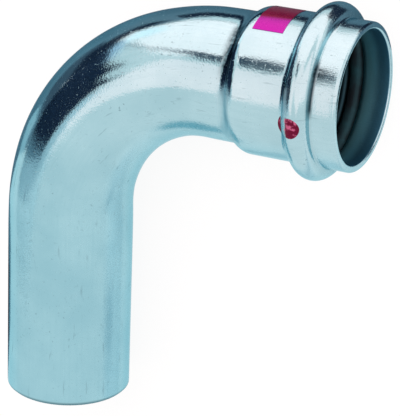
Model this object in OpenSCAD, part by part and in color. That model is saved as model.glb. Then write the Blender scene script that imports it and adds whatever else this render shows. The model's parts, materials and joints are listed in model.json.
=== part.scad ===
// Press fit elbow: a quarter bend of thin steel tube with a plain spigot at one end
// and a press socket, with its sealing ring, at the other.
// It lies on its side as it comes to rest, on the spigot and on the rim of the bead.

/* [Tube] */
// Outside diameter of the tube and of the pipe that goes into the socket
tube_od = 28; // [22:0.5:42]
// Wall of the tube
wall = 1.5; // [1:0.1:2]
// Radius of the bend, to the middle of the tube
bend_r = 36.5; // [30:0.5:60]

/* [Spigot] */
// Straight length of the spigot, from the bend to its end
spigot_len = 43.5; // [30:0.5:80]
// Chamfer on the outer edge of the spigot's end
spigot_chamfer = 0.6; // [0.2:0.1:0.9]

/* [Socket] */
// Straight tube between the bend and the shoulder
neck_len = 5.2; // [2:0.1:15]
// Length of the shoulder, where the tube widens into the socket
shoulder_len = 4.8; // [4:0.1:10]
// Gap all round between the socket's bore and the pipe in it
pipe_gap = 0.2; // [0.1:0.05:0.4]
// Straight barrel, from the shoulder to the middle of the bead
barrel_len = 14; // [11:0.5:25]
// Guide lip, from the middle of the bead to the mouth
lip_len = 8.2; // [6:0.2:14]
// Round on the outer edge of the mouth
rim_round = 0.8; // [0.2:0.1:0.9]
// Round on the inner edge of the mouth
mouth_round = 0.5; // [0.1:0.1:0.6]

/* [Bead] */
// Height of the bead over the socket
bead_rise = 3; // [2.6:0.1:4]
// Radius of the bead's round back
bead_arc_r = 2.8; // [2.2:0.1:3.2]
// Wall of the bead, drawn thinner than the tube by the forming
bead_wall = 1.2; // [0.8:0.1:1.4]
// Blend between the bead and the barrel
barrel_blend_r = 1.6; // [0.6:0.1:2.2]
// Blend between the bead and the guide lip
lip_blend_r = 0.6; // [0.3:0.1:1.2]
// Round on the two inner edges of the seal's groove
groove_edge_r = 1; // [0.5:0.1:1.3]

/* [Sealing ring] */
// How far the ring stands out of its groove into the bore
seal_grip = 0.2; // [0.05:0.05:0.6]
// Gap between the ring and the groove
seal_gap = 0.05; // [0.02:0.01:0.1]

/* [Printed marks] */
// Thickness of the printed ink
ink_t = 0.1; // [0.05:0.05:0.2]
// Length of the colour field along the socket
field_len = 6.8; // [4:0.2:9]
// Width of the colour field around the socket
field_arc = 11.7; // [5:0.1:20]
// Turn of the colour field from the outer side of the bend, towards the top
field_turn = 11.5; // [-90:0.5:90]
// Bare strip between the shoulder and the colour field
field_margin = 0.1; // [0:0.1:1]
// Diameter of the colour dot on the bead
dot_d = 4.4; // [2:0.2:6]
// Turn of the colour dot from the outer side of the bend, towards the top
dot_turn = 100; // [0:1:180]
// Shift of the colour dot from the middle of the bead, towards the barrel
dot_shift = 0.5; // [0:0.1:1.5]

/* [Hidden] */
$fn = 96;

// Radii of the tube, the socket and the bead
tube_r = tube_od / 2;
bore_r = tube_r + pipe_gap;
socket_r = bore_r + wall;
bead_r = socket_r + bead_rise;
bead_ring_r = bead_r - bead_arc_r;
groove_arc_r = bead_arc_r - bead_wall;

// Stations along the socket, counted from the end of the bend
shoulder_s = neck_len + shoulder_len;
bead_s = shoulder_s + barrel_len;
mouth_s = bead_s + lip_len;

// Radius of the two equal arcs that make the shoulder's S
shoulder_rise = socket_r - tube_r;
shoulder_r = (shoulder_len ^ 2 + shoulder_rise ^ 2) / (4 * shoulder_rise);

// Sealing ring: its nose in the bore, its back in the groove and the round on both
seal_nose_r = bore_r - seal_grip;
seal_back_r = bead_ring_r + groove_arc_r - seal_gap;
seal_end_r = min(groove_arc_r - seal_gap, (seal_back_r - seal_nose_r) / 2);

// Rounds of the mouth, limited by the wall that they share
rim_share = 0.6;
rim_r = min(rim_round, rim_share * wall);
mouth_r = min(mouth_round, (1 - rim_share) * wall);

// Angle that the colour field covers
field_angle = field_arc / socket_r * 180 / PI;

// Lean of the socket when the spigot and the bead both touch the ground
bead_reach = bend_r + bead_s;
ring_reach = norm([bead_reach, bead_ring_r]);
lean = atan2(bead_ring_r, bead_reach) - asin((tube_r - bead_arc_r) / ring_reach);

// Middle of the lying part, from the point where the two axes cross
mouth_reach = (bend_r + mouth_s - rim_r) * cos(lean) + (socket_r - rim_r) * sin(lean) + rim_r;
middle_x = (mouth_reach - tube_r) / 2;
middle_y = (bead_r - bend_r - spigot_len) / 2;

// Lays the part on its side, with its origin on the ground under its middle
module lie_down() {
    translate([-middle_x, -middle_y, tube_r])
        rotate([0, -lean, 0])
            children();
}

// Turns a shape about Z into one about the socket's axis, from the end of the bend
module along_socket() {
    translate([bend_r, 0, 0])
        rotate([0, 90, 0])
            children();
}

// Turns a shape about the socket's axis, from the outer side of the bend towards the top
module turned(turn) {
    rotate([0, 0, 90 + turn])
        children();
}

// Section of the shoulder's S, for the outside or for a surface set in from it
module shoulder_section(inset) {
    hollow_c = [tube_r + shoulder_r, neck_len];
    round_c = [socket_r - shoulder_r, shoulder_s];
    difference() {
        polygon([[0, neck_len], hollow_c, round_c, [0, shoulder_s]]);
        translate(hollow_c)
            circle(shoulder_r + inset);
    }
    intersection() {
        translate(round_c)
            circle(shoulder_r - inset);
        polygon([round_c, hollow_c, [hollow_c.x, shoulder_s]]);
    }
}

// Section of one blended root of the bead, on the barrel's side (-1) or the lip's side (1)
module root_section(blend_r, side) {
    blend_x = socket_r + blend_r;
    blend_y = bead_s + side * sqrt((bead_arc_r + blend_r) ^ 2 - (blend_x - bead_ring_r) ^ 2);
    difference() {
        polygon([[0, bead_s], [bead_ring_r, bead_s], [blend_x, blend_y], [socket_r, blend_y], [0, blend_y]]);
        translate([blend_x, blend_y])
            circle(blend_r);
    }
}

// Section of the round bead, with a blended root on each side
module bead_section() {
    translate([bead_ring_r, bead_s])
        circle(bead_arc_r);
    root_section(barrel_blend_r, -1);
    root_section(lip_blend_r, 1);
}

// Section of the seal's groove inside the bead, with its two edges rounded
module groove_section() {
    edge_x = bore_r + groove_edge_r;
    edge_y = groove_arc_r + groove_edge_r;
    translate([bead_ring_r, bead_s])
        circle(groove_arc_r);
    translate([0, bead_s - groove_arc_r])
        square([bead_ring_r, 2 * groove_arc_r]);
    difference() {
        translate([0, bead_s - edge_y])
            square([edge_x, 2 * edge_y]);
        for (side = [-1, 1])
            translate([edge_x, bead_s + side * edge_y])
                circle(groove_edge_r);
    }
}

// Outer section of the socket, from the end of the bend to the rounded mouth
module socket_outside() {
    square([tube_r, neck_len]);
    shoulder_section(0);
    translate([0, shoulder_s]) {
        square([socket_r, mouth_s - rim_r - shoulder_s]);
        square([socket_r - rim_r, mouth_s - shoulder_s]);
    }
    translate([socket_r - rim_r, mouth_s - rim_r])
        circle(rim_r);
    bead_section();
}

// Inner section of the socket: waterway, pipe stop, bore, seal groove and rounded mouth
module socket_inside() {
    square([tube_r - wall, neck_len]);
    shoulder_section(wall);
    translate([0, shoulder_s])
        square([bore_r, mouth_s - shoulder_s]);
    groove_section();
    difference() {
        translate([0, mouth_s - mouth_r])
            square([bore_r + mouth_r, mouth_r]);
        translate([bore_r + mouth_r, mouth_s - mouth_r])
            circle(mouth_r);
    }
}

// Section of the plain tube
module tube_section() {
    difference() {
        circle(tube_r);
        circle(tube_r - wall);
    }
}

module spigot() {
    translate([0, -bend_r, 0])
        rotate([90, 0, 0])
            rotate_extrude()
                polygon([
                    [tube_r - wall, 0],
                    [tube_r, 0],
                    [tube_r, spigot_len - spigot_chamfer],
                    [tube_r - spigot_chamfer, spigot_len],
                    [tube_r - wall, spigot_len]
                ]);
}

module bend() {
    translate([bend_r, -bend_r, 0])
        rotate([0, 0, 90])
            rotate_extrude(angle = 90)
                translate([bend_r, 0])
                    tube_section();
}

module socket() {
    along_socket()
        rotate_extrude()
            difference() {
                socket_outside();
                socket_inside();
            }
}

// One piece of formed tube
module elbow_body() {
    color([0.66, 0.80, 0.84])
        lie_down() {
            spigot();
            bend();
            socket();
        }
}

// Rubber ring in the bead's groove
module sealing_ring() {
    color([0.06, 0.07, 0.08])
        lie_down()
            along_socket()
                rotate_extrude()
                    translate([0, bead_s]) {
                        for (end_x = [seal_nose_r + seal_end_r, seal_back_r - seal_end_r])
                            translate([end_x, 0])
                                circle(seal_end_r);
                        translate([seal_nose_r + seal_end_r, -seal_end_r])
                            square([seal_back_r - seal_nose_r - 2 * seal_end_r, 2 * seal_end_r]);
                    }
}

// Printed field on the barrel
module colour_field() {
    color([0.80, 0.03, 0.45])
        lie_down()
            along_socket()
                turned(field_turn - field_angle / 2)
                    rotate_extrude(angle = field_angle)
                        translate([socket_r, shoulder_s + field_margin])
                            square([ink_t, field_len]);
}

// Printed dot on the bead
module colour_dot() {
    color([0.62, 0.05, 0.22])
        lie_down()
            along_socket()
                intersection() {
                    rotate_extrude()
                        difference() {
                            translate([bead_ring_r, bead_s])
                                circle(bead_arc_r + ink_t);
                            socket_outside();
                        }
                    turned(dot_turn)
                        translate([0, 0, bead_s - dot_shift])
                            rotate([0, 90, 0])
                                cylinder(d = dot_d, h = 2 * bead_r);
                }
}

elbow_body();
sealing_ring();
colour_field();
colour_dot();
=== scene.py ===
import json
import math
import bpy
import bmesh
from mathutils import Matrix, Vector

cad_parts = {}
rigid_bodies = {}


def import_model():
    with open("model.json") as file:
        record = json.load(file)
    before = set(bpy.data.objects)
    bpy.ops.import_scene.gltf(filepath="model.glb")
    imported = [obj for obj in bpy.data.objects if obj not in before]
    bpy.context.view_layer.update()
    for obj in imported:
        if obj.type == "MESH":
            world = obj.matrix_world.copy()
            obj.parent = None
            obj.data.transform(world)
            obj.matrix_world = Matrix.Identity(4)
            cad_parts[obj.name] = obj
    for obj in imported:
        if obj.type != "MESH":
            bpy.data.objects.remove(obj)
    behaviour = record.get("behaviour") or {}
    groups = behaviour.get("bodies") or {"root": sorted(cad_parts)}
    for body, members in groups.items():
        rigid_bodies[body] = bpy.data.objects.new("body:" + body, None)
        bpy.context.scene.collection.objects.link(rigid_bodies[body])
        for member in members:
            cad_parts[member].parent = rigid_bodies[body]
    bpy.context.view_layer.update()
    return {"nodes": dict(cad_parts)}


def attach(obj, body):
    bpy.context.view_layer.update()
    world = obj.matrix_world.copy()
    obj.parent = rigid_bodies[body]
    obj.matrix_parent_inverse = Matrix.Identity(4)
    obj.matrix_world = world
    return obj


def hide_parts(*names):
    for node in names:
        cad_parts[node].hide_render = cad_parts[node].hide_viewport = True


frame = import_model()
scene = bpy.context.scene
scene.view_settings.view_transform = "Standard"
mm = 0.001
mapUnit = 100       # millimetres to one unit of the tube's map
print("frame loaded:", sorted(frame["nodes"]))


# helpers for objects and nodes

def putInScene(obj):
    scene.collection.objects.link(obj)
    return obj


def newTree(name):
    mat = bpy.data.materials.new(name)
    mat.use_nodes = True
    mat.node_tree.nodes.clear()
    return mat, mat.node_tree


def plug(tree, socket, value):
    # links another node's output, or sets a plain value
    if isinstance(value, bpy.types.NodeSocket):
        tree.links.new(value, socket)
    else:
        socket.default_value = value


def node(tree, kind, inputs=None, **props):
    made = tree.nodes.new(kind)
    for key, value in props.items():
        setattr(made, key, value)
    for key, value in (inputs or {}).items():
        plug(tree, made.inputs[key], value)
    return made


def ramp(tree, fac, stops):
    made = node(tree, "ShaderNodeValToRGB", {"Fac": fac})
    points = made.color_ramp.elements
    while len(points) < len(stops):
        points.new(0.5)
    for point, (pos, colour) in zip(points, stops):
        point.position = pos
        point.color = (*colour, 1) if isinstance(colour, tuple) else (colour, colour, colour, 1)
    return made.outputs["Color"]


def noise(tree, vector, scale, detail=3.0, rough=0.55):
    made = node(tree, "ShaderNodeTexNoise", {
        "Vector": vector, "Scale": scale, "Detail": detail, "Roughness": rough})
    return made.outputs["Fac"]


def drawnNoise(tree, tube, scale, detail, rough=0.55):
    # noise stretched along the tube
    stretched = node(tree, "ShaderNodeMapping", {"Vector": tube, "Scale": scale})
    return noise(tree, stretched.outputs["Vector"], 1.0, detail, rough)


def mixed(tree, fac, a, b):
    made = node(tree, "ShaderNodeMix", data_type="RGBA")
    plug(tree, made.inputs[0], fac)
    for socket, colour in ((6, a), (7, b)):
        plug(tree, made.inputs[socket], (*colour, 1) if isinstance(colour, tuple) else colour)
    return made.outputs[2]


def sums(tree, how, a, b):
    return node(tree, "ShaderNodeMath", {0: a, 1: b}, operation=how).outputs[0]


def bump(tree, height, depth, normal=None):
    # depth is the strength and the distance in metres
    made = node(tree, "ShaderNodeBump", {"Height": height, "Strength": depth[0], "Distance": depth[1]})
    if normal is not None:
        tree.links.new(normal, made.inputs["Normal"])
    return made.outputs["Normal"]


def surface(tree, shader):
    out = tree.nodes.new("ShaderNodeOutputMaterial")
    tree.links.new(shader.outputs[0], out.inputs["Surface"])


# the bent tube with its spigot and socket, in millimetres and degrees

elbow = {
    "tubeR": 14.0, "wall": 1.5, "bendR": 36.5, "spigotLen": 43.5, "chamfer": 0.6,
    "neckLen": 5.2, "shoulderLen": 4.8, "boreR": 14.2, "barrelLen": 14.0, "lipLen": 8.2,
    "rimRound": 0.8, "mouthRound": 0.5, "beadRise": 3.0, "beadArcR": 2.8, "beadWall": 1.2,
    "barrelBlend": 1.6, "lipBlend": 0.6, "grooveEdge": 1.0,
    "lean": 4.410834, "middleX": 27.822409, "middleY": -30.65,
    "flatten": 0.34,       # how much the bend is squeezed in its own plane
    "flattenIn": (-5, 9), "flattenOut": (-10, 3),      # where that starts and ends, from the bend's two ends
    "edgeRound": 0.12,     # softened edges of the spigot's end
    # small swelling at the bead's root
    "nubHeight": 0.3, "nubS": 21.3, "nubTurn": 70.5, "nubLong": 0.6, "nubRound": 1.0,
    # extra rows of points: on the neck, inside it, and inside the lip from the mouth
    "neckRows": (1.7, 3.4), "neckInside": 2.6, "lipRows": (1.8, 3.4),
    "segments": 180,
}
# steps along each stretch of the outline
elbowRows = {
    "spigot": 22, "bend": 84, "shoulder": 10, "barrel": 6, "barrelRoot": 9, "bead": 30, "lipRoot": 8,
    "lip": 4, "rim": 9, "mouth": 6, "grooveEdge": 6, "groove": 16, "bore": 5, "stop": 6, "spigotInside": 14,
}
socketR = elbow["boreR"] + elbow["wall"]
shoulderS = elbow["neckLen"] + elbow["shoulderLen"]
beadS = shoulderS + elbow["barrelLen"]
mouthS = beadS + elbow["lipLen"]
beadRingR = socketR + elbow["beadRise"] - elbow["beadArcR"]
grooveArcR = elbow["beadArcR"] - elbow["beadWall"]
bendStart = elbow["spigotLen"]
bendEnd = bendStart + elbow["bendR"] * math.pi / 2
leanCos = math.cos(math.radians(elbow["lean"]))
leanSin = math.sin(math.radians(elbow["lean"]))

# the shoulder's two equal arcs
shoulderRise = socketR - elbow["tubeR"]
shoulderR = (elbow["shoulderLen"] ** 2 + shoulderRise ** 2) / (4 * shoulderRise)
shoulderSwing = math.degrees(math.asin(elbow["shoulderLen"] / 2 / shoulderR))


def laidDown(x, y, z):
    # from the point where the two axes cross to the lying part, in metres
    return Vector((x * leanCos - z * leanSin - elbow["middleX"],
                   y - elbow["middleY"],
                   x * leanSin + z * leanCos + elbow["tubeR"])) * mm


def smooth(a, b, x):
    t = min(max((x - a) / (b - a), 0.0), 1.0)
    return t * t * (3 - 2 * t)


def onTube(t, r, turn):
    # t runs along the centre line from the spigot's end, turn goes from the outer side to the top
    big = elbow["bendR"]
    if t < bendStart:
        cx, cy, ox, oy = 0.0, -big - bendStart + t, -1.0, 0.0
    elif t < bendEnd:
        a = math.pi - (t - bendStart) / big
        ox, oy = math.cos(a), math.sin(a)
        cx, cy = big + big * ox, -big + big * oy
    else:
        cx, cy, ox, oy = big + t - bendEnd, 0.0, 0.0, 1.0
    if r > socketR - 0.1 and t > bendEnd + shoulderS:
        far = ((t - bendEnd - elbow["nubS"]) / elbow["nubLong"]) ** 2
        far += (r * (turn - math.radians(elbow["nubTurn"])) / elbow["nubRound"]) ** 2
        r += elbow["nubHeight"] * math.exp(-far)
    squeeze = smooth(*[bendStart + d for d in elbow["flattenIn"]], t)
    squeeze *= 1 - smooth(*[bendEnd + d for d in elbow["flattenOut"]], t)
    side = r * math.cos(turn) * (1 - elbow["flatten"] / elbow["tubeR"] * squeeze)
    return laidDown(cx + ox * side, cy + oy * side, r * math.sin(turn))


def arc(s, r, radius, fromDeg, toDeg, count):
    steps = [math.radians(fromDeg + (toDeg - fromDeg) * i / count) for i in range(count + 1)]
    return [(s + radius * math.cos(a), r + radius * math.sin(a)) for a in steps]


def line(a, b, count):
    return [(a[0] + (b[0] - a[0]) * i / count, a[1] + (b[1] - a[1]) * i / count) for i in range(1, count)]


def beadRoot(blend):
    # how far from the bead's middle its blended root ends, and the angle at which it meets the bead
    dr = socketR + blend - beadRingR
    ds = math.sqrt((elbow["beadArcR"] + blend) ** 2 - dr ** 2)
    return ds, math.degrees(math.atan2(dr, ds))


def socketOutside():
    # shoulder, barrel, bead, lip and rounded mouth
    tubeR, rim, mouth = elbow["tubeR"], elbow["rimRound"], elbow["mouthRound"]
    rows, big, swing = elbowRows, shoulderR, shoulderSwing
    pts = arc(elbow["neckLen"], tubeR + big, big, -90, -90 + swing, rows["shoulder"])
    pts += arc(shoulderS, socketR - big, big, 90 + swing, 90, rows["shoulder"])[1:]
    blend = elbow["barrelBlend"]
    ds, firstLift = beadRoot(blend)
    root = arc(beadS - ds, socketR + blend, blend, -90, -firstLift, rows["barrelRoot"])
    pts += line(pts[-1], root[0], rows["barrel"]) + root
    blend = elbow["lipBlend"]
    ds, lastLift = beadRoot(blend)
    pts += arc(beadS, beadRingR, elbow["beadArcR"], 180 - firstLift, lastLift, rows["bead"])[1:]
    pts += arc(beadS + ds, socketR + blend, blend, 180 + lastLift, 270, rows["lipRoot"])[1:]
    rounded = arc(mouthS - rim, socketR - rim, rim, 90, 0, rows["rim"])
    pts += line(pts[-1], rounded[0], rows["lip"]) + rounded
    pts += arc(mouthS - mouth, elbow["boreR"] + mouth, mouth, 0, -90, rows["mouth"])
    return pts


def socketInside():
    # from the lip inwards: groove of the sealing ring, bore, pipe stop, neck
    edge, boreR, wall = elbow["grooveEdge"], elbow["boreR"], elbow["wall"]
    rows, big, swing = elbowRows, shoulderR, shoulderSwing
    pts = arc(beadS + grooveArcR + edge, boreR + edge, edge, 270, 180, rows["grooveEdge"])
    pts += arc(beadS, beadRingR, grooveArcR, 0, 180, rows["groove"])
    pts += arc(beadS - grooveArcR - edge, boreR + edge, edge, 0, -90, rows["grooveEdge"])
    pts += line(pts[-1], (shoulderS, boreR), rows["bore"])
    pts += arc(shoulderS, socketR - big, big - wall, 90, 90 + swing, rows["stop"])
    pts += arc(elbow["neckLen"], elbow["tubeR"] + big, big + wall, -90 + swing, -90, rows["shoulder"])[1:]
    return pts


def bodyProfile():
    # points of the closed outline, and for each one whether it lies inside the tube
    e, rows = elbow["edgeRound"], elbowRows
    inR, outR, cham, boreR = elbow["tubeR"] - elbow["wall"], elbow["tubeR"], elbow["chamfer"], elbow["boreR"]
    pts = [(0.0, outR - cham - e), (0.02, outR - cham - e * 0.35), (e * 0.5, outR - cham + e * 0.45)]
    pts += [(cham - e * 0.5, outR - e * 0.45), (cham + e * 0.4, outR - 0.01), (cham + e * 1.5, outR)]
    pts += [(cham + e * 1.5 + (bendStart - 1) * i / rows["spigot"], outR) for i in range(1, rows["spigot"])]
    bendPts = [bendStart + (bendEnd - bendStart) * i / rows["bend"] for i in range(rows["bend"] + 1)]
    pts += [(t, outR) for t in bendPts]
    pts += [(bendEnd + s, outR) for s in elbow["neckRows"]]
    pts += [(bendEnd + s, r) for s, r in socketOutside()]
    firstInside = len(pts) - 2
    pts += [(bendEnd + (mouthS - s), boreR) for s in elbow["lipRows"]]
    pts += [(bendEnd + s, r) for s, r in socketInside() + [(elbow["neckInside"], inR)]]
    pts += [(t, inR) for t in reversed(bendPts)]
    pts += [(bendStart * i / rows["spigotInside"], inR) for i in range(rows["spigotInside"] - 1, 0, -1)]
    lastInside = len(pts)
    pts += [(0.25, inR), (0.06, inR + 0.02), (0.0, inR + 0.12)]
    return pts, [1.0 if firstInside <= i <= lastInside else 0.0 for i in range(len(pts))]


def lathe(name, profile, inside, segments):
    # closed profile swept round the centre line, with a map of the lengths round and along the tube
    bm = bmesh.new()
    turns = [2 * math.pi * j / segments for j in range(segments)]
    rings = [[bm.verts.new(onTube(t, r, turn)) for turn in turns] for t, r in profile]
    uv = bm.loops.layers.uv.new("tube")
    count = len(rings)
    for i in range(count):
        k = (i + 1) % count
        for j in range(segments):
            n = (j + 1) % segments
            face = bm.faces.new((rings[i][j], rings[i][n], rings[k][n], rings[k][j]))
            face.smooth = True
            places = ((i, j), (i, j + 1), (k, j + 1), (k, j))
            for loop, (row, col) in zip(face.loops, places):
                roundTube = 2 * math.pi * elbow["tubeR"] * col / segments
                loop[uv].uv = (roundTube / mapUnit, profile[row][0] / mapUnit)
    mesh = bpy.data.meshes.new(name)
    bm.to_mesh(mesh)
    bm.free()
    shade = mesh.attributes.new("inside", "FLOAT", "POINT")
    for i, value in enumerate(inside):
        for j in range(segments):
            shade.data[i * segments + j].value = value
    return putInScene(bpy.data.objects.new(name, mesh))


elbowBody = lathe("elbowBody", *bodyProfile(), elbow["segments"])
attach(elbowBody, "root")
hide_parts("elbow_body")
print("elbow body:", len(elbowBody.data.polygons), "faces")


# bright zinc plate, duller inside the tube, where painted shade darkens it and a painted reflection lies on
# the lip's inner wall

zinc = {
    # pale and deep tones along the tube: spigot, bend, socket
    "pale": ((0.0, (0.37, 0.64, 0.715)), (0.32, (0.385, 0.645, 0.715)),
             (0.55, (0.455, 0.69, 0.75)), (0.92, (0.475, 0.685, 0.74))),
    "deep": ((0.0, (0.31, 0.57, 0.65)), (0.32, (0.32, 0.575, 0.65)),
             (0.55, (0.38, 0.615, 0.68)), (0.92, (0.41, 0.615, 0.67))),
    "speck": (0.13, 0.22, 0.26), "cutEnd": (0.07, 0.125, 0.15), "bare": (0.45, 0.68, 0.74),
    # the crease tone is painted shade and painted dark reflection, at the lip's root and in the shoulder's
    # hollow
    "creaseShade": (0.012, 0.024, 0.038), "paleRoot": (0.50, 0.72, 0.78),
    "edgeTint": (0.55, 0.78, 0.84),     # reflection near the outline
    # inside, from the spigot's end to the mouth: painted shade, darker deeper in and darkest behind the
    # sealing ring, and a pale painted reflection band on the lip's inner wall
    "inside": ((0.0, (0.24, 0.52, 0.62)), (0.3, (0.14, 0.31, 0.38)), (0.7, (0.03, 0.07, 0.09)),
               (0.935, (0.02, 0.05, 0.065)), (0.944, (0.06, 0.20, 0.26)), (0.954, (0.24, 0.68, 0.80)),
               (0.963, (0.23, 0.66, 0.80)), (0.975, (0.075, 0.25, 0.36)), (0.99, (0.06, 0.22, 0.33))),
    "roughLow": 0.05, "roughHigh": 0.13, "roughPit": 0.45, "roughDust": 0.55,
    "roughInside": 0.44, "roughPaleRoot": 0.5,
    "wholeLength": 134.0,
    # scale, detail and roughness of each noise
    "cloudNoise": (95, 4), "grainNoise": (2300, 2), "waveNoise": (150, 1), "pitNoise": (1250, 1.5, 0.5),
    "speckNoise": (560, 2, 0.5), "patchNoise": (60, 2), "dustNoise": (1900, 2, 0.6),
    # the same for those drawn out along the tube, with the scale round it first
    "drawnNoise": ((150, 5, 1), 4), "scoredNoise": ((520, 9, 1), 2), "scratchNoise": ((95, 13, 1), 3, 0.6),
    # strength and depth of each bump
    "waveBump": (0.22, 0.0003), "drawnBump": (0.05, 0.0001), "lineBump": (0.35, 0.00006),
    "grainBump": (0.35, 0.00006),
}
# how strongly a noise, or a place on the tube, takes each tone or dullness
zincMasks = {
    "clouds": ((0.34, 0.0), (0.68, 1.0)), "drawnLines": ((0.38, 0.30), (0.52, 0.0)),
    "pits": ((0.66, 0.0), (0.76, 0.42)), "pitPatches": ((0.42, 0.0), (0.62, 1.0)),
    "specks": ((0.745, 0.0), (0.785, 0.5)), "scratches": ((0.63, 0.0), (0.74, 0.4)),
    # streaks of the painted dark reflection on the lip, and breaks in the painted shade of the shoulder's
    # hollow
    "darkReflectionStreaks": ((0.43, 1.0), (0.55, 0.3)), "shoulderShadeBreaks": ((0.45, 1.0), (0.72, 0.6)),
    "dust": ((0.62, 0.0), (0.73, 0.65)),
    "cutEnd": ((0.0042, 0.8), (0.0056, 0.0)), "lip": ((0.945, 0.0), (0.96, 1.0)),
    "roughClouds": ((0.3, zinc["roughLow"]), (0.75, zinc["roughHigh"])),
    "roughSocket": ((0.83, 0.0), (0.85, 0.07)),      # how much duller the socket is
    "roughInner": ((0.26, 0.0), (0.36, 0.13), (0.56, 0.13), (0.68, 0.0)),      # and the bend's inner side
}
# patches on the tube, by their limits along it and round it
zincPatches = {
    # painted shade: dark line at the root of the lip, and from it a streaky painted dark reflection onto the
    # lip
    "creaseShade": (((0.9510, 0.0), (0.9518, 1.0), (0.9564, 1.0), (0.9570, 0.0)),
               ((0.120, 0.0), (0.136, 1.0), (0.214, 1.0), (0.234, 0.1))),
    "darkReflection": (((0.9558, 0.0), (0.9566, 0.95), (0.961, 0.65), (0.975, 0.0)),
              ((0.131, 0.0), (0.140, 1.0), (0.157, 1.0), (0.168, 0.0))),
    # painted shade in the hollow of the shoulder, from the outer side to the top
    "shoulderShade": (((0.788, 0.0), (0.798, 0.85), (0.809, 0.85), (0.815, 0.0)),
             ((0.06, 0.0), (0.075, 1.0), (0.16, 1.0), (0.20, 0.0))),
    # paler, duller strip along the bead's root, from the dot towards the outer side
    "paleRoot": (((0.9095, 0.0), (0.912, 0.9), (0.920, 0.9), (0.923, 0.0)),
               ((0.178, 0.0), (0.184, 1.0), (0.236, 1.0), (0.246, 0.0))),
    # duller inner side of the shoulder
    "dull": (((0.785, 0.0), (0.797, 0.28), (0.813, 0.28), (0.824, 0.0)),
             ((0.19, 0.0), (0.22, 1.0), (0.60, 1.0), (0.70, 0.0))),
}


def zincPlate():
    mat, tree = newTree("zincPlate")
    coord = node(tree, "ShaderNodeTexCoord")
    place, tube = coord.outputs["Object"], coord.outputs["UV"]
    inside = node(tree, "ShaderNodeAttribute", attribute_name="inside").outputs["Fac"]
    # along is 0 at the spigot's end and about 1 at the mouth
    split = node(tree, "ShaderNodeSeparateXYZ", {"Vector": tube})
    along = sums(tree, "MULTIPLY", split.outputs["Y"], mapUnit / zinc["wholeLength"])
    turn = split.outputs["X"]

    def mask(name, fac):
        return ramp(tree, fac, zincMasks[name])

    def patch(name):
        alongStops, turnStops = zincPatches[name]
        return sums(tree, "MULTIPLY", ramp(tree, along, alongStops), ramp(tree, turn, turnStops))

    def grey(name):
        return (zinc[name],) * 3

    cloud = noise(tree, place, *zinc["cloudNoise"])
    grain = noise(tree, place, *zinc["grainNoise"])
    wave = noise(tree, place, *zinc["waveNoise"])
    drawn = drawnNoise(tree, tube, *zinc["drawnNoise"])
    scored = drawnNoise(tree, tube, *zinc["scoredNoise"])
    scratched = drawnNoise(tree, tube, *zinc["scratchNoise"])
    pits = noise(tree, place, *zinc["pitNoise"])
    specks = noise(tree, place, *zinc["speckNoise"])
    pitPatches = noise(tree, place, *zinc["patchNoise"])
    dust = noise(tree, place, *zinc["dustNoise"])
    pitted = mixed(tree, mask("pitPatches", pitPatches), (0.0, 0.0, 0.0), mask("pits", pits))
    # painted shade: dark line along the lip's root
    creaseShade = patch("creaseShade")
    # painted dark reflection: streaks from the lip's root onto the lip
    darkReflection = sums(tree, "MULTIPLY", patch("darkReflection"), mask("darkReflectionStreaks", drawn))
    # painted shade in the hollow of the shoulder, broken up by the pit noise
    shoulderShade = sums(tree, "MULTIPLY", patch("shoulderShade"), mask("shoulderShadeBreaks", pits))
    paleRoot = patch("paleRoot")

    deep, pale = ramp(tree, along, zinc["deep"]), ramp(tree, along, zinc["pale"])
    colour = mixed(tree, mask("clouds", cloud), deep, pale)
    for fac, tone in (
            (mask("drawnLines", drawn), deep), (pitted, zinc["speck"]),
            (mask("specks", specks), zinc["speck"]), (mask("cutEnd", along), zinc["cutEnd"]),
            # painted shade along the lip's root, and painted dark reflection streaked onto the lip
            (creaseShade, zinc["creaseShade"]), (darkReflection, zinc["creaseShade"]),
            # the last entry here is painted shade in the shoulder's hollow
            (mask("scratches", scratched), zinc["speck"]), (shoulderShade, zinc["creaseShade"]),
            # inside the tube the tone is painted shade, deepest behind the sealing ring, with a painted
            # reflection band on the lip's inner wall
            (paleRoot, zinc["paleRoot"]), (inside, ramp(tree, along, zinc["inside"]))):
        colour = mixed(tree, fac, colour, tone)

    duller = sums(tree, "MAXIMUM", mask("roughSocket", along), mask("roughInner", turn))
    duller = sums(tree, "MAXIMUM", duller, patch("dull"))
    rough = sums(tree, "ADD", mask("roughClouds", cloud), duller)
    for fac, name in ((pitted, "roughPit"), (mask("dust", dust), "roughDust"),
                      (paleRoot, "roughPaleRoot"), (inside, "roughInside")):
        rough = mixed(tree, fac, rough, grey(name))

    lines = mixed(tree, mask("lip", along), (0.5, 0.5, 0.5), scored)      # fine lines on the lip alone
    normal = bump(tree, wave, zinc["waveBump"])
    normal = bump(tree, drawn, zinc["drawnBump"], normal)
    normal = bump(tree, lines, zinc["lineBump"], normal)
    normal = bump(tree, grain, zinc["grainBump"], normal)
    shader = node(tree, "ShaderNodeBsdfPrincipled", {
        "Base Color": colour, "Metallic": 1.0, "Roughness": rough, "Normal": normal,
        # painted shade: the reflection is also darkened along the lip's root line
        "Specular Tint": mixed(tree, creaseShade, zinc["edgeTint"], zinc["creaseShade"])})
    surface(tree, shader)
    return mat


elbowBody.data.materials.append(zincPlate())
print("zinc plate done")


# rubber ring in the groove of the bead

seal = {
    "grip": 0.2, "gap": 0.05, "noseRows": 22, "backRows": 16,
    "black": (0.012, 0.016, 0.02), "worn": (0.016, 0.05, 0.06), "film": ((0.4, 0.0), (0.72, 1.0)),
    "rough": ((0.3, 0.28), (0.7, 0.46)), "gloss": 0.25, "sheen": (0.3, 0.85, 1.0),
    "fineScale": 1500, "filmScale": 210, "fineBump": (0.2, 0.00005),
}


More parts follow.
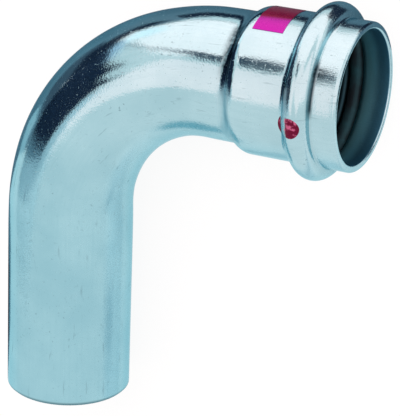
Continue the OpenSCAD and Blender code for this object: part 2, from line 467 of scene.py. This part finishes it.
def sealProfile():
    nose = elbow["boreR"] - seal["grip"]
    back = beadRingR + grooveArcR - seal["gap"]
    half = min(grooveArcR - seal["gap"], (back - nose) / 2)
    pts = arc(beadS, nose + half, half, 180, 360, seal["noseRows"])
    pts += arc(beadS, back - half, half, 0, 180, seal["backRows"])
    return [(bendEnd + s, r) for s, r in pts]


def sealRubber():
    mat, tree = newTree("sealRubber")
    place = node(tree, "ShaderNodeTexCoord").outputs["Object"]
    fine = noise(tree, place, seal["fineScale"])
    film = noise(tree, place, seal["filmScale"])
    shader = node(tree, "ShaderNodeBsdfPrincipled", {
        "Base Color": mixed(tree, ramp(tree, film, seal["film"]), seal["black"], seal["worn"]),
        "Roughness": ramp(tree, film, seal["rough"]), "Normal": bump(tree, fine, seal["fineBump"]),
        "Specular IOR Level": seal["gloss"], "Specular Tint": (*seal["sheen"], 1)})
    surface(tree, shader)
    return mat


sealingRing = lathe("sealingRing", sealProfile(), [], elbow["segments"])
sealingRing.data.materials.append(sealRubber())
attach(sealingRing, "root")
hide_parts("sealing_ring")
print("sealing ring:", len(sealingRing.data.polygons), "faces")


# printed field and dot, which keep their CAD shapes

inkFilm = {
    "patchDetail": 4, "patchRough": 0.6, "fineScale": 2600, "fineDetail": 2, "fineBump": (0.15, 0.00004),
    "rough": ((0.3, 0.2), (0.7, 0.36)),
}
fieldInk = {
    "full": (0.36, 0.003, 0.29), "thin": (0.40, 0.010, 0.31), "shaded": (0.22, 0.001, 0.045),
    "metallic": 0.7, "gloss": 0.4, "patchScale": 330, "patches": ((0.48, 0.0), (0.66, 1.0)),
    # painted shade: below the height of this point on the barrel the field is painted a shaded crimson
    "shadeTurn": 18.0, "shadeS": 13.0, "shadeSoft": 0.0006,
}
dotInk = {
    "full": (0.10, 0.001, 0.02), "thin": (0.42, 0.09, 0.18),
    "metallic": 0.2, "gloss": 0.12, "patchScale": 900, "patches": ((0.54, 0.0), (0.64, 1.0)),
    # the dot is rubbed off at the bead's root, up to here along the socket
    "wornFrom": 22.9, "wornTo": 23.4, "wornRise": 2.0, "ragged": 0.0012,
    "sliverS": 22.9, "sliverR": 3.05, "sliverTurn": 103.0, "sliverFrom": 19.87, "sliverTo": 20.55,
    "sliverRows": 6, "sliverAcross": 8, "skin": 0.05,
}


def printedInk(name, ink, bare=None, shadedBelow=None):
    # thin ink over metal, so it is partly a tinted metal
    mat, tree = newTree(name)
    place = node(tree, "ShaderNodeTexCoord").outputs["Object"]
    patch = noise(tree, place, ink["patchScale"], inkFilm["patchDetail"], inkFilm["patchRough"])
    fine = noise(tree, place, inkFilm["fineScale"], inkFilm["fineDetail"])
    colour = mixed(tree, ramp(tree, patch, ink["patches"]), ink["full"], ink["thin"])
    metallic = ink["metallic"]
    # painted shade: below that height the field takes its shaded crimson
    if shadedBelow:
        height = node(tree, "ShaderNodeSeparateXYZ", {"Vector": place}).outputs["Z"]
        shade = node(tree, "ShaderNodeMapRange", {
            "Value": height, "From Min": shadedBelow - ink["shadeSoft"],
            "From Max": shadedBelow + ink["shadeSoft"]})
        colour = mixed(tree, shade.outputs[0], ink["shaded"], colour)
    if bare:
        reachX = node(tree, "ShaderNodeSeparateXYZ", {"Vector": place}).outputs["X"]
        ragged = sums(tree, "ADD", reachX, sums(tree, "MULTIPLY", patch, ink["ragged"]))
        worn = node(tree, "ShaderNodeMapRange", {
            "Value": ragged, "From Min": bare[0], "From Max": bare[1],
            "To Min": 1.0, "To Max": 0.0}).outputs[0]
        colour = mixed(tree, worn, colour, zinc["bare"])
        metallic = sums(tree, "MAXIMUM", worn, metallic)
    shader = node(tree, "ShaderNodeBsdfPrincipled", {
        "Base Color": colour, "Metallic": metallic, "Roughness": ramp(tree, patch, inkFilm["rough"]),
        "Specular IOR Level": ink["gloss"], "Normal": bump(tree, fine, inkFilm["fineBump"])})
    surface(tree, shader)
    return mat


def nodeMaterial(name, mat):
    frame["nodes"][name].data.materials.clear()
    frame["nodes"][name].data.materials.append(mat)


def barrelRoot(s):
    # radius of the outside where the barrel runs into the bead
    blend = elbow["barrelBlend"]
    start = beadS - beadRoot(blend)[0]
    return socketR + blend - math.sqrt(blend ** 2 - max(s - start, 0.0) ** 2)


def dotSliver(mat):
    # the part of the dot that lies on the barrel, on the other side of the bare root
    bm = bmesh.new()
    across, count, skin = dotInk["sliverAcross"], dotInk["sliverRows"], dotInk["skin"]
    middle = math.radians(dotInk["sliverTurn"])
    rows = []
    for i in range(count + 1):
        s = dotInk["sliverFrom"] + (dotInk["sliverTo"] - dotInk["sliverFrom"]) * i / count
        chord = math.sqrt(max(dotInk["sliverR"] ** 2 - (dotInk["sliverS"] - s) ** 2, 0.0))
        r = barrelRoot(s)
        turns = [middle + chord * (2 * j / across - 1) / r for j in range(across + 1)]
        rows.append([[bm.verts.new(onTube(bendEnd + s, r + lift, turn)) for turn in turns]
                     for lift in (-skin, skin)])
    for low, high in zip(rows, rows[1:]):
        for j in range(across):
            bm.faces.new((low[1][j], low[1][j + 1], high[1][j + 1], high[1][j]))
            bm.faces.new((high[0][j], high[0][j + 1], low[0][j + 1], low[0][j]))
        for j in (0, across):
            ends = (low[0][j], low[1][j], high[1][j], high[0][j])
            bm.faces.new(ends if j == 0 else ends[::-1])
    for j in range(across):
        for row, flip in ((rows[0], 1), (rows[-1], -1)):
            bm.faces.new((row[0][j], row[0][j + 1], row[1][j + 1], row[1][j])[::flip])
    bmesh.ops.recalc_face_normals(bm, faces=bm.faces)
    mesh = bpy.data.meshes.new("dotSliver")
    bm.to_mesh(mesh)
    bm.free()
    mesh.materials.append(mat)
    return putInScene(bpy.data.objects.new("dotSliver", mesh))


shadeZ = onTube(bendEnd + fieldInk["shadeS"], socketR, math.radians(fieldInk["shadeTurn"])).z
nodeMaterial("colour_field", printedInk("fieldInk", fieldInk, shadedBelow=shadeZ))
wornX = [onTube(bendEnd + dotInk[key], socketR + dotInk["wornRise"], math.pi / 2).x
         for key in ("wornFrom", "wornTo")]
nodeMaterial("colour_dot", printedInk("dotInk", dotInk, bare=wornX))
sliver = dotSliver(printedInk("sliverInk", dotInk))
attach(sliver, "root")
print("printed marks done")


# camera at the viewing angle of the picture

camera = {
    "place": (0.15903, 0.15278, 0.40603), "turn": (-19.2561, 22.4016, 2.2112),
    "lens": 185.277, "sensor": 36, "clipStart": 0.01,
}
camData = bpy.data.cameras.new("camera")
camData.sensor_fit = "HORIZONTAL"
camData.sensor_width = camera["sensor"]
camData.lens = camera["lens"]
camData.clip_start = camera["clipStart"]
cam = putInScene(bpy.data.objects.new("camera", camData))
cam.location = camera["place"]
cam.rotation_euler = [math.radians(a) for a in camera["turn"]]
scene.camera = cam
print("camera placed")


# floor and world

studio = {
    "floorSize": 6.0, "floorColour": 0.86, "floorGlow": 0.88, "worldLevel": 0.95,
    "lampTint": (1.0, 0.79, 0.755), "weaveScale": 45, "weaveDetail": 4,
}


def seenDirectly(tree):
    path = node(tree, "ShaderNodeLightPath")
    seen = sums(tree, "MAXIMUM", path.outputs["Is Camera Ray"], path.outputs["Is Glossy Ray"])
    return sums(tree, "MAXIMUM", seen, path.outputs["Is Transmission Ray"])


def paleFloor():
    mat, tree = newTree("paleFloor")
    c = studio["floorColour"]
    matt = node(tree, "ShaderNodeBsdfDiffuse", {"Color": (c, c, c, 1)})
    glow = node(tree, "ShaderNodeEmission", {"Strength": 1.0})
    fac = sums(tree, "MULTIPLY", seenDirectly(tree), studio["floorGlow"])
    surface(tree, node(tree, "ShaderNodeMixShader", {0: fac, 1: matt.outputs[0], 2: glow.outputs[0]}))
    return mat


def quad(name, corners, mat):
    mesh = bpy.data.meshes.new(name)
    mesh.from_pydata([Vector(c) for c in corners], [], [list(range(len(corners)))])
    mesh.materials.append(mat)
    obj = putInScene(bpy.data.objects.new(name, mesh))
    return obj


reach = studio["floorSize"] / 2
quad("floor", ((-reach, -reach, 0), (reach, -reach, 0), (reach, reach, 0), (-reach, reach, 0)), paleFloor())

world = bpy.data.worlds.new("studio")
scene.world = world
world.use_nodes = True
backdrop = world.node_tree.nodes["Background"]
backdrop.inputs["Color"].default_value = (1, 1, 1, 1)
backdrop.inputs["Strength"].default_value = studio["worldLevel"]
print("floor and world done")


# soft boxes and coloured cards, which the metal reflects

clothTones = {
    "navy": ((0.006, 0.012, 0.026), (0.012, 0.022, 0.042)),
    "teal": ((0.06, 0.10, 0.14), (0.18, 0.26, 0.31)),
    "slate": ((0.025, 0.045, 0.065), (0.085, 0.12, 0.165)),
    "dusk": ((0.08, 0.14, 0.18), (0.16, 0.25, 0.31)),
    "haze": ((0.17, 0.27, 0.37), (0.34, 0.48, 0.58)),
    "mist": ((0.33, 0.45, 0.50), (0.38, 0.50, 0.55)),
    "sky": ((0.54, 0.64, 0.67), (0.58, 0.68, 0.71)),
    "cloud": ((0.80, 0.90, 0.94), (0.90, 0.96, 0.98)),
}


def cardCloth(colour):
    mat, tree = newTree(colour + "Cloth")
    place = node(tree, "ShaderNodeTexCoord").outputs["Object"]
    weave = noise(tree, place, studio["weaveScale"], studio["weaveDetail"])
    tone = mixed(tree, weave, *clothTones[colour])
    surface(tree, node(tree, "ShaderNodeBsdfDiffuse", {"Color": tone}))
    return mat


cloths = {colour: cardCloth(colour) for colour in clothTones}


def card(name, corners, colour):
    # seen in reflections alone
    made = quad(name, [Vector(c) * mm for c in corners], cloths[colour])
    made.visible_camera = made.visible_diffuse = made.visible_shadow = False


def softBox(name, place, aim, width, height, level):
    data = bpy.data.lights.new(name, "AREA")
    data.shape = "RECTANGLE"
    data.size, data.size_y = width * mm, height * mm
    data.energy = level * math.pi * width * height * mm * mm
    data.color = studio["lampTint"]
    lamp = putInScene(bpy.data.objects.new(name, data))
    turn = (Vector(aim) - Vector(place)).to_track_quat("-Z", "Y")
    lamp.location = Vector(place) * mm
    lamp.rotation_euler = turn.to_euler()
    lamp.visible_camera = False
    # dark back, a millimetre behind the light
    corners = [Vector(place) + turn @ Vector((width * x / 2, height * y / 2, 1))
               for x, y in ((-1, -1), (1, -1), (1, 1), (-1, 1))]
    card(name + "Back", corners, "navy")


def onScreen(middle, facing, distance, sights):
    # corners on an upright screen, given as the directions in which the middle point sees them
    corners = []
    for across, up in sights:
        away = distance / math.cos(math.radians(across - facing))
        corners.append(Vector(middle) + away * Vector((
            math.cos(math.radians(across)), math.sin(math.radians(across)), math.tan(math.radians(up)))))
    return corners


def onLeft(distance, sights):
    # on a screen to the left of the bend
    return onScreen((-14, 35, 26), 180, distance, sights)


def onFloor(height, corners):
    return [(x, y, height) for x, y in corners]


# place, aim, width and height in millimetres, and level
softBoxes = {
    "backBox": ((-90, 640, 330), (0, 30, 330), 1150, 656, 1.75),
    "lowBox": ((10, 350, 1.6), (10, 350, 100), 860, 536, 1.75),
    "topBox": ((-262, 72, 452), (0, 35, 28), 400, 260, 1.48),
    "overBox": ((150, 195, 547), (0, 35, 28), 620, 500, 1.5),
    "sideBox": ((222, 100, 180), (0, 60, 150), 180, 240, 1.55),
}
cards = {
    # flag far on the left, with two points on its upper edge
    "leftFlag": ("navy", onLeft(346, (
        (150, -4), (151, 4), (154, 12), (155.5, 18), (157, 25), (156, 31.5), (162, 32), (167, 33.5),
        (171, 43.5), (175, 41.5), (185, 40.4), (193, 36.5), (196, 33), (192, 23), (190.5, 15), (188, 4),
        (186.5, -4.2)))),
    # paler strips along its two ends
    "leftEnd": ("dusk", onLeft(350, (
        (186, -4), (189, 15), (191, 23), (194, 34), (199.5, 33), (196, 24), (194, 12), (192.5, -4)))),
    "leftTop": ("mist", onLeft(352, (
        (180, 41.5), (185, 41), (193, 37), (196, 33), (194, 22), (192, 10), (191, -4), (200, -4), (202, 10),
        (203, 24), (204, 35), (202, 42), (196, 47), (188, 46.5), (181, 45)))),
    "leftPale": ("sky", onLeft(354, (
        (187, -4), (206, -4), (209, 15), (211, 33), (209, 45), (202, 50.5), (192, 49.5), (184, 47.5)))),
    "leftHaze": ("haze", onLeft(350, (
        (160, -4), (144.5, -4), (146.5, 5), (151.5, 13), (156, 20), (160, 20)))),
    "hazeFloor": ("haze", onFloor(2.2, ((-100, 80), (-360, 220), (-360, 280), (-125, 118)))),
    "cloudFloor": ("cloud", onFloor(2.0, (
        (-62, 84), (-118, 112), (-360, 275), (-360, 360), (-100, 150), (-50, 96)))),
    # floor between that flag and the bend, paler close to the tube
    "leftFloor": ("navy", onFloor(2.4, (
        (-360, 96), (-110, 56), (-78, 51), (-64, 57), (-50, 61), (-32, 62), (-26, 70), (-40, 73), (-66, 80),
        (-110, 98), (-360, 235)))),
    "midFloor": ("slate", onFloor(0.8, (
        (-360, 20), (-200, 16), (-108, 22), (-78, 28), (-63, 40), (-53, 53), (-82, 64), (-360, 150)))),
    "nearFloor": ("dusk", onFloor(0.6, (
        (-200, 13), (-110, 17), (-84, 19), (-60, 10), (-46, 8), (-38, 10), (-32, 22), (-22, 36), (-16, 46),
        (-60, 62), (-90, 60), (-130, 40), (-240, 40)))),
    "farLeftFloor": ("dusk", onFloor(0.5, ((-360, -30), (-360, 16), (-150, 18), (-150, -10)))),
    "sideFloor": ("mist", onFloor(0.5, ((-150, -10), (-150, 18), (-84, 22), (-66, 10), (-78, -2)))),
    # floor under and behind the bend and the socket
    "rearFloor": ("teal", onFloor(0.4, (
        (-80, 0), (-62, -14), (-40, -14), (-36, 0), (-30, 20), (-18, 32), (0, 38), (50, 36), (60, 20),
        (78, 20), (72, 70), (-8, 70), (-18, 74), (-34, 80), (-60, 86), (-80, 50)))),
    "rearStrip": ("navy", onFloor(0.8, (
        (-20, 61), (-6, 58), (38, 58), (42, 50), (60, 50), (58, 84), (42, 86), (37, 68), (-6, 67),
        (-20, 71)))),
    # gap between the soft boxes behind the bend, wide at its top
    "boxGap": ("slate", onScreen((5, 36, 29), 134, 540, (
        (145.8, 1), (141, 19.5), (136, 33), (132.5, 39.5), (133, 51), (124, 54), (116, 52),
        (117, 37), (125, 36), (130.5, 34), (134.5, 31), (139.5, 19.5), (144.8, 1)))),
    # floor on the right, for the mouth's rim and for the stripe on the spigot
    "rightFloor": ("navy", onFloor(0.6, (
        (58, 22), (75, 14), (150, 14), (170, 24), (150, 42), (80, 42), (60, 36)))),
    "stripeFloor": ("mist", onFloor(0.6, ((30, -40), (330, -168), (330, -199), (30, -60)))),
    "frontFloor": ("sky", onFloor(0.4, ((1, -6), (120, -50), (120, -200), (1, -88)))),
    # thin dark edge along the left side of the spigot
    "edgeFloor": ("navy", onFloor(0.8, (
        (-52, -58), (-45, -58), (-45, -8), (-49, -16), (-64, -34), (-64, -50)))),
    "edgeSoft": ("dusk", onFloor(0.7, (
        (-56, -60), (-45, -60), (-45, 2), (-52, 0), (-76, -30), (-76, -52)))),
}
for name, box in softBoxes.items():
    softBox(name, *box)
for name, (colour, corners) in cards.items():
    card(name, corners, colour)
print("studio done:", len(softBoxes), "soft boxes and", len(cards), "cards")
